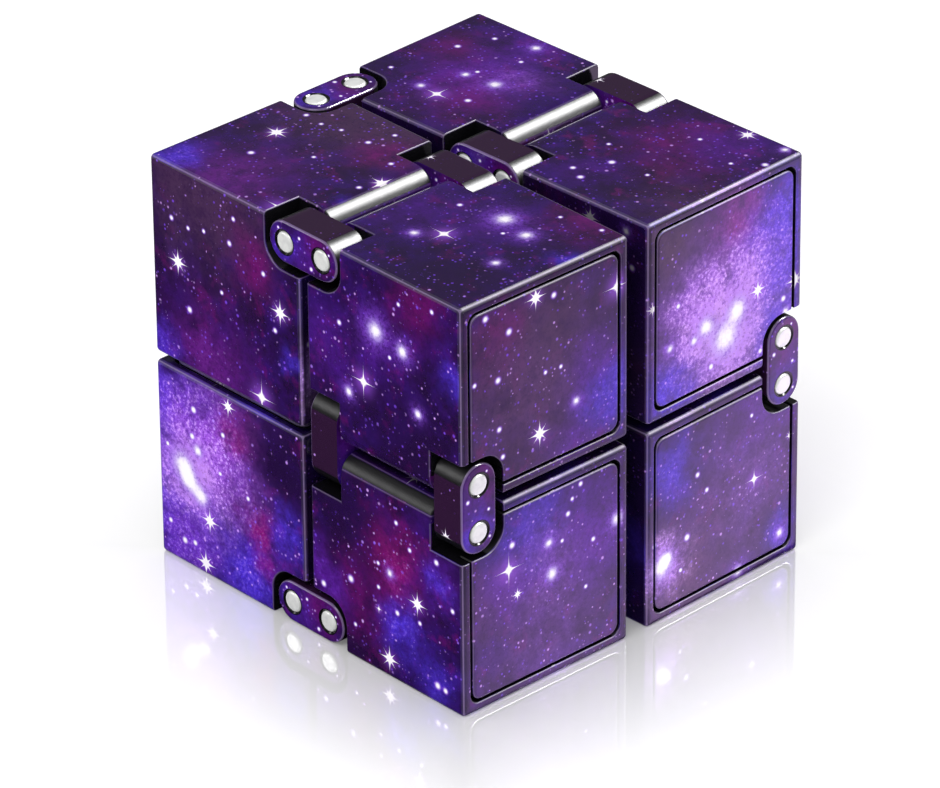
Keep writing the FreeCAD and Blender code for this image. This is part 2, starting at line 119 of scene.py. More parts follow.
# Each tile is the print of one face, and its places are measured from the middle of the face.
# clouds: (across, up, radius, colour, strength)
# glows: (across, up, radius)
# stars: (across, up, reach of the points, share of that reach for the diagonal points)
EIGHT, FOUR = 0.8, 0.3
TILES = {
    "dusk": {
        "clouds": [(-5.0, 8.0, 6.5, PLUM, 1.0), (1.0, 8.5, 5.5, PLUM, 0.9), (3.5, 4.3, 2.6, MAGENTA, 0.8),
                   (-9.0, -9.2, 2.2, BLUE, 0.9), (-2.5, -8.0, 5.0, GRAPE, 0.9),
                   (8.5, -3.6, 1.2, BLUE, 0.6)],
        "glows": [(1.3, 7.5, 0.22), (-7.0, 4.5, 0.24), (-4.8, 4.3, 0.2), (-2.7, 4.8, 0.2),
                  (0.7, 4.9, 0.26), (5.1, 3.6, 0.24), (6.5, -1.4, 0.24), (-4.9, -3.8, 0.3),
                  (-0.5, -0.4, 0.2)],
        "stars": [(-6.3, 0.4, 1.5, EIGHT), (7.2, 0.6, 1.5, EIGHT), (4.5, -8.8, 2.3, FOUR)],
    },
    "twin_glow": {
        "clouds": [(-8.0, 0.0, 4.0, VIOLET, 0.35), (-0.6, 2.6, 3.2, VIOLET, 0.5),
                   (4.5, 8.5, 3.0, MAGENTA, 0.7), (3.5, -7.5, 5.0, NIGHT, 0.9),
                   (8.4, 3.0, 1.4, BLUE, 0.6), (-8.5, 6.0, 3.0, INDIGO, 0.8)],
        "glows": [(-0.9, 3.7, 0.85), (2.5, 3.0, 0.6), (-4.4, -3.6, 0.42), (4.4, -2.3, 0.4),
                  (-5.5, 2.7, 0.25), (2.1, 7.4, 0.2), (6.3, 8.3, 0.22), (0.9, 1.8, 0.2)],
        "stars": [(-2.5, -1.9, 2.1, FOUR)],
    },
    "drift": {
        "clouds": [(-8.5, -3.0, 5.5, BLUE, 1.1), (-8.0, 6.0, 4.0, BLUE, 1.0),
                   (-3.0, 3.0, 5.6, ORCHID, 1.1), (6.8, 5.5, 4.4, NIGHT, 1.0),
                   (-5.0, -0.5, 3.4, PINK, 0.8), (2.4, -7.0, 4.0, BLUE, 1.0), (7.3, -1.2, 2.2, BLUE, 0.9),
                   (3.6, -2.0, 2.0, CERISE, 0.9), (-6.0, -6.5, 3.6, IRIS, 1.1),
                   (0.3, 6.0, 2.3, CERISE, 0.7), (5.0, -5.5, 1.6, CERISE, 0.6)],
        "glows": [(-6.4, 0.3, 1.3), (-5.6, -1.0, 1.0), (-4.1, -1.9, 0.9), (-4.4, 2.6, 0.55),
                  (-5.1, 3.8, 0.32), (-4.8, 6.6, 0.34), (-6.5, -7.4, 0.34), (-5.1, -7.1, 0.28),
                  (-0.9, 5.6, 0.26), (2.3, 0.5, 0.24), (-8.5, 1.7, 0.24), (-1.4, 1.5, 0.22),
                  (-8.4, -6.1, 0.26)],
        "stars": [(-0.1, 8.8, 1.2, EIGHT), (-3.0, -4.0, 1.5, EIGHT), (-3.7, -8.6, 1.6, EIGHT)],
    },
    "ember": {
        "clouds": [(1.0, 1.8, 3.6, CERISE, 0.8), (-3.5, -3.6, 3.4, MAGENTA, 0.6),
                   (1.8, -4.2, 2.4, BLUE, 0.9), (-8.4, -3.0, 2.6, VIOLET, 0.8),
                   (7.4, 3.0, 2.2, VIOLET, 0.6), (7.2, 2.2, 1.4, BLUE, 0.6), (6.5, -8.0, 2.6, BLUE, 0.6),
                   (-5.0, 5.0, 4.5, NIGHT, 0.8)],
        "glows": [(0.5, 0.8, 0.36), (-4.6, -1.9, 0.34), (1.4, -2.8, 0.26), (-8.2, -3.9, 0.3),
                  (6.5, 4.4, 0.28), (8.5, 0.4, 0.24), (-1.0, 1.2, 0.2), (-1.0, -1.2, 0.2),
                  (3.1, 4.2, 0.22), (4.3, -2.6, 0.22), (6.5, -7.9, 0.34), (7.5, -8.0, 0.28),
                  (1.4, 6.2, 0.22), (-4.1, -6.3, 0.2)],
        "stars": [(4.0, -0.8, 1.4, EIGHT), (0.3, -7.9, 1.5, EIGHT), (-1.0, -3.4, 0.75, FOUR)],
    },
    "blaze": {
        "clouds": [(6.0, 2.0, 6.0, BLUE, 1.3), (-1.0, -1.5, 6.2, ORCHID, 1.1),
                   (-7.5, 7.0, 4.6, PLUM, 1.0), (1.2, 6.2, 3.0, CERISE, 0.6), (0.0, -3.6, 4.4, PINK, 1.2),
                   (-7.0, -8.0, 3.4, BLUE, 0.9), (7.0, -7.5, 3.6, BLUE, 1.0)],
        "glows": [(0.0, -4.8, 1.6), (1.5, -2.6, 1.1), (-2.5, -2.8, 0.9), (-4.0, -3.6, 0.4),
                  (-7.0, -3.2, 0.36), (7.4, -3.8, 0.3), (7.7, -5.2, 0.4), (-1.8, -7.0, 0.3),
                  (4.5, -7.9, 0.26), (-6.0, 0.6, 0.26)],
        "stars": [(4.1, -1.7, 1.3, EIGHT), (8.9, -2.5, 1.5, EIGHT), (-9.2, 1.5, 0.9, EIGHT)],
    },
    "quiet": {
        "clouds": [(3.0, 0.0, 8.0, LILAC, 0.6), (-6.5, 5.0, 3.0, BLUE, 0.7),
                   (-5.0, -6.5, 5.0, SMOKE, 0.9), (-7.8, -4.4, 2.4, PINK, 0.7),
                   (7.5, -7.0, 2.0, BLUE, 0.6), (6.0, 7.0, 4.0, VIOLET, 0.5)],
        "glows": [(-7.9, -4.3, 1.1), (-7.3, -3.7, 0.6), (-4.7, -2.6, 0.34), (-3.4, 3.2, 0.26),
                  (7.3, -7.1, 0.4), (1.9, -8.8, 0.5), (-8.8, -1.8, 0.3), (-2.2, 1.2, 0.24),
                  (3.5, 6.4, 0.2), (-5.5, -5.6, 0.22)],
        "stars": [(3.9, -0.2, 1.6, FOUR), (8.5, 2.4, 0.7, EIGHT)],
    },
    "two_spikes": {
        "clouds": [(-2.0, 0.0, 9.0, SMOKE, 0.75), (-5.0, 6.0, 3.0, MAGENTA, 0.5),
                   (8.5, -4.5, 3.4, BLUE, 0.85), (5.5, -1.0, 3.0, VIOLET, 0.5),
                   (3.5, -8.5, 2.6, VIOLET, 0.5), (1.0, 4.0, 4.0, PLUM, 0.6)],
        "glows": [(-6.9, 7.9, 0.3), (-4.2, 5.7, 0.32), (-5.5, 1.5, 0.3), (3.6, -3.9, 0.36),
                  (-5.4, -3.3, 0.26), (-5.0, -6.1, 0.24), (1.0, 7.3, 0.28), (-8.2, 2.0, 0.22),
                  (1.8, 0.1, 0.2), (0.0, 0.2, 0.2)],
        "stars": [(-1.1, 7.8, 1.4, EIGHT), (-0.7, -5.5, 1.5, EIGHT), (8.4, 5.4, 2.2, FOUR)],
    },
    "cluster": {
        "clouds": [(0.0, -6.0, 8.0, LILAC, 0.45), (-1.5, 5.5, 4.0, BLUE, 0.6),
                   (0.6, 1.0, 4.4, LILAC, 0.7), (-7.5, 0.5, 3.0, SMOKE, 0.6),
                   (6.0, 3.0, 4.5, VIOLET, 0.6), (-4.5, 1.0, 2.6, VIOLET, 0.6)],
        "glows": [(0.3, 3.7, 0.42), (0.7, 0.5, 0.6), (8.5, 2.9, 0.6), (-4.0, 5.2, 0.32), (2.6, 5.7, 0.26),
                  (4.1, 8.1, 0.24), (5.6, 2.0, 0.24), (3.1, 7.0, 0.2), (4.7, -2.4, 0.2), (1.9, 3.3, 0.2)],
        "stars": [(-4.4, 2.9, 2.2, FOUR), (-3.4, 0.1, 0.8, EIGHT)],
    },
    "plum": {
        "clouds": [(-1.0, 3.5, 4.5, MAGENTA, 0.45), (3.0, 6.0, 4.0, VIOLET, 0.4),
                   (3.0, -1.0, 3.4, MAGENTA, 0.35), (-3.0, -6.0, 2.6, VIOLET, 0.4),
                   (7.5, -5.0, 4.5, PLUM, 0.7)],
        "glows": [(-2.0, -3.8, 0.32), (-2.0, -7.7, 0.3), (7.2, 8.4, 0.36), (7.9, 5.1, 0.3),
                  (-3.7, -6.9, 0.26), (0.5, 4.7, 0.22), (-4.6, -1.5, 0.2), (5.6, 3.2, 0.2),
                  (1.9, -3.4, 0.2)],
        "stars": [(2.9, 8.2, 1.3, EIGHT)],
    },
    "rose": {
        "clouds": [(-1.5, -1.0, 5.0, VIOLET, 0.7), (0.5, -3.5, 4.0, MAGENTA, 0.6),
                   (-3.0, 7.0, 4.0, VIOLET, 0.5), (-7.5, 2.0, 3.0, MAGENTA, 0.5),
                   (7.0, 0.0, 4.0, INDIGO, 0.7), (1.5, 2.0, 2.6, ORCHID, 0.3)],
        "glows": [(-2.0, 7.5, 0.45), (0.5, -0.2, 0.6), (-2.8, -0.6, 0.38), (-4.1, -4.9, 0.36),
                  (-7.3, 2.9, 0.28), (-6.0, 6.3, 0.24), (1.0, -4.1, 0.3), (-2.4, 0.5, 0.22),
                  (-8.6, -4.2, 0.22), (-1.0, 4.6, 0.22)],
        "stars": [(-1.9, -5.1, 2.0, FOUR)],
    },
    "link": {
        "clouds": [(0.0, 0.0, 3.0, VIOLET, 0.5), (2.0, 0.5, 1.8, MAGENTA, 0.6),
                   (-2.4, -0.5, 1.6, BLUE, 0.5)],
        "glows": [(-0.4, 1.1, 0.16), (1.1, -1.3, 0.2), (-3.1, 1.2, 0.14), (3.4, 0.9, 0.12)],
        "stars": [(-2.7, 0.4, 1.1, EIGHT), (-2.9, 7.6, 1.1, EIGHT)],
    },
}

# The X faces keep their own coordinates. The others lie one page further along, the Z faces a little aside.
PAGE = 60.0
TOP_SHIFT = (1.2, 0.5, 0.0)

# A star's share for its diagonal points rides along with the way to it, times this small number.
STAR_TAG = 0.01
# The points are thicker where the diagonal ones are long.
STAR_THIN, STAR_THICKEN = 0.24, 0.19
# How many times narrower than the points' reach a star's round heart and its halo are.
HEART_SHRINK, HALO_SHRINK, HALO_STRENGTH = 5.0, 2.0, 0.55

# Glows over this radius also have a haze and a white bloom, which are narrower where the power is more.
SMALL_GLOW = 0.35
HAZE_POWER, BLOOM_POWER = 0.28, 1.6
# The haze between the specks, what the specks add to it, and how much thicker the bloom is.
HAZE_LEAST, HAZE_SPECKS, BLOOM_MORE = 0.2, 0.75, 0.25
RING_STRENGTH, BLOOM_STRENGTH = 0.6, 0.93

# Noise: marks in a millimetre, detail and roughness. The clouds' outlines wander by up to half the reach.
WANDER, WANDER_REACH = (0.22, 4.0, 0.6), 7.0
MIST = (0.34, 5.0, 0.62)
VEINS, VEINS_AWAY = (0.5, 5.0, 0.66), (31.0, 7.0, 11.0)
SPECKLE = (2.6, 3.0, 0.8)
# How strong the veins are in each colour, and the specks.
MAGENTA_VEINS, VIOLET_VEINS, NIGHT_VEINS = 0.55, 0.25, 0.35
DARK_LEAST, DARK_MORE, FLECK_STRENGTH = 0.3, 0.4, 0.85

# Random stars: spacing, radius, and the share of places that hold one. The small kinds crowd together.
DUST_STARS = ((0.42, 0.14, 0.55), (0.75, 0.17, 0.4))
FIELD_STARS = (2.3, 0.19, 0.24)
CROWDING, FIELD_STRENGTH = 0.7, 0.95

# Keeps the noise of each cube and each link apart.
CUBE_SEED, SEED_AWAY, LINK_SEED = 23.0, Vector((5.0, 11.0, 3.0)), 3.0

# ---------------------------------------------------------------- finish, in millimetres and shares

# How far in the film is bare on a hinge rounding beside the cube's own notch, and on the far side.
BARE_NEAR, BARE_FAR = 1.15, 0.5
# How deep in a groove the film begins to end, over what depth, and how much deeper on a hinge rounding.
FILM_DEPTH, FILM_FADE, FILM_ON_ROUND = 0.16, 0.04, 0.45
# The painted highlight line beside the bare part: where it is full, where it begins to fade and where it
# ends.
LINE_FULL, LINE_FADES, LINE_ENDS = 0.04, 0.08, 0.2
SOFT_EDGE = 0.05
# The radius of the bare ring round the end of a pin.
PIN_RING, RING_FADE = 1.2, 0.08
# How strong the painted shade is on the faces in the seams and on the frames round the covers.
SEAM_SHADE, FRAME_SHADE = 0.78, 0.5
# How strong the painted highlight on the edges is: on a cube, the line on its hinge roundings as a share of
# that, and on a link.
EDGE_HIGHLIGHT_STRENGTH, LINE_HIGHLIGHT_SHARE, LINK_HIGHLIGHT_STRENGTH = 0.5, 0.6, 0.55
# Roughness, and how much the ripple, the bare roundings, the edges and the links' ends add to it.
GLOSS, RIPPLE_DULL, BARREL_DULL, EDGE_DULL, END_DULL = 0.1, 0.12, 0.24, 0.38, 0.22
PLASTIC_IOR = 1.49
RIPPLE_HEIGHT, STEEL_HEIGHT = 0.01 * MM, 0.004 * MM
STEEL_METALLIC = 0.3

# ---------------------------------------------------------------- node helpers

# The first input and the output that a Mix node uses for each kind of value.
MIX_SOCKETS = {"FLOAT": (2, 0), "VECTOR": (4, 1), "RGBA": (6, 2)}


class Tree:
    """The nodes of a material or a world, with short calls that add nodes and wire them.

    A value is a number, a vector, a colour or another node's socket.
    """

    def __init__(self, owner):
        owner.use_nodes = True
        self.owner = owner
        self.nodes = owner.node_tree.nodes
        self.links = owner.node_tree.links
        self.nodes.clear()

    def add(self, kind, **settings):
        node = self.nodes.new(kind)
        for name, value in settings.items():
            setattr(node, name, value)
        return node

    def feed(self, socket, value):
        if isinstance(value, bpy.types.NodeSocket):
            self.links.new(value, socket)
        else:
            socket.default_value = value

    def math(self, operation, *values, clamp=False):
        node = self.add("ShaderNodeMath", operation=operation, use_clamp=clamp)
        for socket, value in zip(node.inputs, values):
            self.feed(socket, value)
        return node.outputs[0]

    def vector(self, operation, *values):
        node = self.add("ShaderNodeVectorMath", operation=operation)
        for socket, value in zip(node.inputs, values):
            self.feed(socket, value)
        number = operation in ("LENGTH", "DOT_PRODUCT")
        return node.outputs["Value" if number else "Vector"]

    def scale(self, vector, factor):
        node = self.add("ShaderNodeVectorMath", operation="SCALE")
        self.feed(node.inputs["Vector"], vector)
        self.feed(node.inputs["Scale"], factor)
        return node.outputs["Vector"]

    def parts(self, vector):
        node = self.add("ShaderNodeSeparateXYZ")
        self.feed(node.inputs[0], vector)
        return list(node.outputs)

    def join(self, x, y, z):
        node = self.add("ShaderNodeCombineXYZ")
        for socket, value in zip(node.inputs, (x, y, z)):
            self.feed(socket, value)
        return node.outputs[0]

    def ramp(self, value, low, high, shape="SMOOTHSTEP"):
        """0 where value is at low, 1 at high, and smooth between them unless shape says LINEAR."""
        node = self.add("ShaderNodeMapRange", interpolation_type=shape)
        for name, number in (("Value", value), ("From Min", low), ("From Max", high)):
            self.feed(node.inputs[name], number)
        return node.outputs[0]

    def mix(self, kind, share, first, second):
        """The first value where share is 0, and the second where it is 1."""
        node = self.add("ShaderNodeMix", data_type=kind)
        start, result = MIX_SOCKETS[kind]
        self.feed(node.inputs["Factor"], share)
        self.feed(node.inputs[start], first)
        self.feed(node.inputs[start + 1], second)
        return node.outputs[result]

    def blend(self, share, under, over):
        return self.mix("RGBA", share, under, over)

    def luma(self, colour):
        node = self.add("ShaderNodeRGBToBW")
        self.feed(node.inputs[0], colour)
        return node.outputs[0]

    def noise(self, place, scale, detail=2.0, roughness=0.5):
        node = self.add("ShaderNodeTexNoise", noise_dimensions="3D")
        self.feed(node.inputs["Vector"], place)
        for name, number in (("Scale", scale), ("Detail", detail), ("Roughness", roughness)):
            node.inputs[name].default_value = number
        return node.outputs["Fac"], node.outputs["Color"]

    def cells(self, place, scale):
        node = self.add("ShaderNodeTexVoronoi", voronoi_dimensions="3D", feature="F1")
        self.feed(node.inputs["Vector"], place)
        node.inputs["Scale"].default_value = scale
        return node.outputs["Distance"], node.outputs["Color"]

    def light(self, colour, strength):
        node = self.add("ShaderNodeEmission")
        self.feed(node.inputs["Color"], colour)
        self.feed(node.inputs["Strength"], strength)
        return node.outputs[0]

    def principled(self, colour, roughness, height, bump, **numbers):
        """The main shader. numbers are set on its own sockets."""
        shader = self.add("ShaderNodeBsdfPrincipled")
        self.feed(shader.inputs["Base Color"], colour)
        self.feed(shader.inputs["Roughness"], roughness)
        for name, number in numbers.items():
            shader.inputs[name].default_value = number
        relief = self.add("ShaderNodeBump")
        relief.inputs["Distance"].default_value = bump
        self.feed(relief.inputs["Height"], height)
        self.links.new(relief.outputs["Normal"], shader.inputs["Normal"])
        return shader.outputs["BSDF"]

    def end_with(self, shader, kind="ShaderNodeOutputMaterial"):
        """Sends this shader to the output, and gives back the material or world."""
        self.links.new(shader, self.add(kind).inputs["Surface"])
        return self.owner


def new_tree(name):
    return Tree(bpy.data.materials.new(name))


# ---------------------------------------------------------------- the printed film


def own_space(tree, centre, turn):
    """The place in millimetres from centre and the facing, both in the piece's own axes."""
    source = tree.add("ShaderNodeTexCoord")
    place = tree.add("ShaderNodeMapping", vector_type="TEXTURE")
    place.inputs["Location"].default_value = centre
    place.inputs["Rotation"].default_value = (0, 0, turn)
    place.inputs["Scale"].default_value = (MM, MM, MM)
    tree.links.new(source.outputs["Object"], place.inputs["Vector"])
    facing = tree.add("ShaderNodeMapping", vector_type="TEXTURE")
    facing.inputs["Rotation"].default_value = (0, 0, turn)
    tree.links.new(source.outputs["Normal"], facing.inputs["Vector"])
    return place.outputs[0], facing.outputs[0]


def page_of(tree, place, facing):
    """Flat print coordinates: X faces keep theirs, and the others lie one PAGE further along."""
    nearest = tree.vector("FLOOR", tree.vector("ADD", facing, (0.5, 0.5, 0.5)))
    on_x, _, on_z = tree.parts(tree.vector("ABSOLUTE", nearest))
    x, y, z = tree.parts(place)
    off_x = tree.math("SUBTRACT", 1.0, on_x)
    off_z = tree.math("SUBTRACT", 1.0, on_z)
    across = tree.math("ADD", tree.math("MULTIPLY", x, off_x), tree.math("MULTIPLY", y, on_x))
    along = tree.math("MULTIPLY_ADD", off_x, PAGE, across)
    up = tree.math("ADD", tree.math("MULTIPLY", z, off_z), tree.math("MULTIPLY", y, on_z))
    flat = tree.join(along, up, 0.0)
    return tree.vector("SUBTRACT", flat, tree.scale(TOP_SHIFT, on_z))


def offset_from(tree, flat, spot, reach, extra=0.0):
    """The way from spot to here in units of reach. extra rides along as the third number."""
    across, up = spot
    shrink = (1 / reach, 1 / reach, 0)
    return tree.vector("MULTIPLY_ADD", flat, shrink, (-across / reach, -up / reach, extra))


def softness(tree, offset):
    """1 at the spot, and near 0 from about two reaches away."""
    return tree.math("EXPONENT", tree.math("MULTIPLY", tree.vector("DOT_PRODUCT", offset, offset), -1.0))


def on_pages(tiles, kind):
    """The marks of one kind from the tile on the X faces and from the tile on the others."""
    for page, tile in enumerate(tiles):
        for across, *rest in TILES[tile][kind]:
            yield across + page * PAGE, *rest


def add_clouds(tree, colour, flat, tiles, grain):
    for across, up, radius, tint, strength in on_pages(tiles, "clouds"):
        soft = softness(tree, offset_from(tree, flat, (across, up), radius))
        share = tree.math("MULTIPLY", soft, strength)
        colour = tree.blend(tree.math("MULTIPLY", share, grain, clamp=True), colour, tint)
    return colour


def add_glows(tree, colour, flat, tiles, speckle):
    """Bright stars with a soft core. The large ones also have a haze and a bloom of fine specks."""
    core, wide = 0.0, 0.0
    for across, up, radius in on_pages(tiles, "glows"):
        soft = softness(tree, offset_from(tree, flat, (across, up), radius))
        core = tree.math("ADD", core, soft)
        if radius > SMALL_GLOW:
            wide = tree.math("ADD", wide, soft)
    specks = tree.math("MULTIPLY_ADD", tree.ramp(speckle, 0.35, 0.62), HAZE_SPECKS, HAZE_LEAST)
    haze = tree.math("MULTIPLY", tree.math("POWER", wide, HAZE_POWER), specks, clamp=True)
    ring = tree.math("MULTIPLY", tree.ramp(core, 0.03, 0.35), RING_STRENGTH)
    colour = tree.blend(tree.math("MAXIMUM", haze, ring), colour, AURA)
    thick = tree.math("ADD", specks, BLOOM_MORE)
    bloom = tree.math("MULTIPLY", tree.math("POWER", wide, BLOOM_POWER), thick, clamp=True)
    colour = tree.blend(tree.math("MULTIPLY", bloom, BLOOM_STRENGTH), colour, WHITE)
    colour = tree.blend(tree.ramp(wide, 0.5, 1.15), colour, WHITE)
    return tree.blend(tree.ramp(tree.math("SUBTRACT", core, wide), 0.2, 0.95), colour, WHITE)


def points(tree, across, up, reach, power):
    """Under 1 inside a four-pointed star, which is thinner where power is less."""
    total = 0.0
    for value in (across, up):
        share = tree.math("DIVIDE", tree.math("ABSOLUTE", value), reach)
        total = tree.math("ADD", total, tree.math("POWER", share, power))
    return total


def nearest_star(tree, flat, tiles):
    """The way from the nearest pointed star, in units of its reach, and its share for the diagonals."""
    nearest, least = None, None
    for across, up, reach, diagonal in on_pages(tiles, "stars"):
        offset = offset_from(tree, flat, (across, up), reach, diagonal * STAR_TAG)
        distance = tree.vector("LENGTH", offset)
        if nearest is None:
            nearest, least = offset, distance
            continue
        closer = tree.math("LESS_THAN", distance, least)
        nearest = tree.mix("VECTOR", closer, nearest, offset)
        least = tree.math("MINIMUM", distance, least)
    return nearest


def add_stars(tree, colour, flat, tiles):
    """The pointed stars, each with a round heart and a soft halo."""
    nearest = nearest_star(tree, flat, tiles)
    across, up, tag = tree.parts(nearest)
    diagonal = tree.math("MULTIPLY", tag, 1 / STAR_TAG)
    power = tree.math("MULTIPLY_ADD", diagonal, STAR_THICKEN, STAR_THIN)
    upright = points(tree, across, up, 1.0, power)
    lean = math.sqrt(0.5)
    one = tree.math("MULTIPLY", tree.math("ADD", across, up), lean)
    other = tree.math("MULTIPLY", tree.math("SUBTRACT", across, up), lean)
    leaning = points(tree, one, other, diagonal, power)
    rays = tree.ramp(tree.math("MINIMUM", upright, leaning), 1.08, 0.95)
    heart = tree.ramp(softness(tree, tree.scale(nearest, HEART_SHRINK)), 0.25, 0.8)
    shape = tree.math("MAXIMUM", rays, heart)
    halo = tree.math("MULTIPLY", softness(tree, tree.scale(nearest, HALO_SHRINK)), HALO_STRENGTH)
    colour = tree.blend(halo, colour, ORCHID)
    return tree.blend(shape, colour, WHITE)


def add_dots(tree, colour, place, kind, strength, light):
    """Random round stars, which are paler where light is 1."""
    spacing, radius, share = kind
    distance, chance = tree.cells(place, 1 / spacing)
    pick, size, tint = tree.parts(chance)
    reach = tree.math("MULTIPLY", tree.math("ADD", size, 0.35), radius / spacing)
    dot = tree.ramp(tree.math("DIVIDE", distance, reach), 1.0, 0.35)
    there = tree.math("MULTIPLY", dot, tree.math("LESS_THAN", pick, share))
    ink = tree.blend(tree.math("MAXIMUM", tree.ramp(tint, 0.4, 0.9), light), DUST, FLECK)
    return tree.blend(tree.math("MULTIPLY", there, strength, clamp=True), colour, ink)


def add_specks(tree, colour, speckle, light):
    """Fine dark and pale specks: both are stronger in the light clouds."""
    amount = tree.math("MULTIPLY_ADD", light, DARK_MORE, DARK_LEAST)
    dark = tree.math("MULTIPLY", tree.ramp(speckle, 0.5, 0.36), amount)
    colour = tree.blend(dark, colour, tree.blend(light, NIGHT, VIOLET))
    fleck = tree.math("MULTIPLY", tree.ramp(speckle, 0.53, 0.63), light)
    return tree.blend(tree.math("MULTIPLY", fleck, FLECK_STRENGTH), colour, FLECK)


def galaxy(tree, place, flat, tiles, seed):
    """The print's colour: night sky, clouds, specks, random stars, glows and then pointed stars."""
    shifted = tree.vector("ADD", place, tuple(seed))
    wander = tree.noise(shifted, *WANDER)[1]
    push = tree.vector("SUBTRACT", wander, (0.5, 0.5, 0.5))
    push = tree.vector("MULTIPLY", push, (WANDER_REACH, WANDER_REACH, 0.0))
    mist = tree.noise(shifted, *MIST)[0]
    veins = tree.noise(tree.vector("ADD", shifted, VEINS_AWAY), *VEINS)[0]
    speckle = tree.noise(shifted, *SPECKLE)[0]
    colour = tree.blend(tree.ramp(mist, 0.4, 0.68), NIGHT, INDIGO)
    red = tree.math("MULTIPLY", tree.ramp(veins, 0.52, 0.72), MAGENTA_VEINS)
    colour = tree.blend(red, colour, MAGENTA)
    violet = tree.math("MULTIPLY", tree.ramp(veins, 0.46, 0.25), VIOLET_VEINS)
    colour = tree.blend(violet, colour, VIOLET)
    grain = tree.math("MULTIPLY_ADD", speckle, 0.5, 0.8)
    grain = tree.math("MULTIPLY", tree.ramp(mist, 0.15, 0.52), grain)
    colour = add_clouds(tree, colour, tree.vector("ADD", flat, push), tiles, grain)
    dark = tree.math("MULTIPLY", tree.ramp(veins, 0.5, 0.36), NIGHT_VEINS)
    colour = tree.blend(dark, colour, NIGHT)
    light = tree.ramp(tree.luma(colour), 0.03, 0.22)
    colour = add_specks(tree, colour, speckle, light)
    crowd = tree.math("MULTIPLY_ADD", tree.ramp(veins, 0.42, 0.54), CROWDING, light)
    for kind in DUST_STARS:
        colour = add_dots(tree, colour, shifted, kind, crowd, light)
    colour = add_dots(tree, colour, shifted, FIELD_STARS, FIELD_STRENGTH, 1.0)
    colour = add_glows(tree, colour, flat, tiles, speckle)
    return add_stars(tree, colour, flat, tiles)


# ---------------------------------------------------------------- materials


def hinge_edges(sides):
    """The outward and the seam-ward axis of a cube's two hinge roundings, and how far in each is bare."""
    x, y, z = sides
    yield Vector((0, 0, z)), Vector((-x, 0, 0)), BARE_NEAR if x < 0 else BARE_FAR
    if x < 0:
        yield Vector((x, 0, 0)), Vector((0, -y, 0)), BARE_NEAR if y < 0 else BARE_FAR
    else:
        yield Vector((0, y, 0)), Vector((0, 0, -z)), BARE_NEAR if z < 0 else BARE_FAR


def hinge_shares(tree, place, sides):
    """1 on a cube's two hinge roundings, 1 on the bare part of them, and 1 on the line between."""
    rounding, bare, line = 0.0, 0.0, 0.0
    for out, inwards, reach in hinge_edges(sides):
        below = tree.math("SUBTRACT", HALF, tree.vector("DOT_PRODUCT", place, tuple(out)))
        behind = tree.math("SUBTRACT", HALF, tree.vector("DOT_PRODUCT", place, tuple(inwards)))
        gap = tree.math("MAXIMUM", below, behind)
        inside = tree.ramp(gap, HINGE_ROUND + SOFT_EDGE, HINGE_ROUND - SOFT_EDGE)
        rounding = tree.math("MAXIMUM", rounding, inside)
        bare = tree.math("MAXIMUM", bare, tree.ramp(gap, reach, reach - SOFT_EDGE))
        fading = tree.ramp(gap, reach + LINE_ENDS, reach + LINE_FADES)
        rising = tree.ramp(gap, reach, reach + LINE_FULL)
        line = tree.math("MAXIMUM", line, tree.math("MULTIPLY", fading, rising))
    return rounding, bare, line


def face_distances(tree, place):
    """How deep a place is under its face, and how far it is from the nearest side of that face."""
    x, y, z = tree.parts(tree.vector("ABSOLUTE", place))
    low, high = tree.math("MINIMUM", x, y), tree.math("MAXIMUM", x, y)
    middle = tree.math("MAXIMUM", low, tree.math("MINIMUM", high, z))
    return tree.math("SUBTRACT", HALF, tree.math("MAXIMUM", high, z)), tree.math("SUBTRACT", HALF, middle)


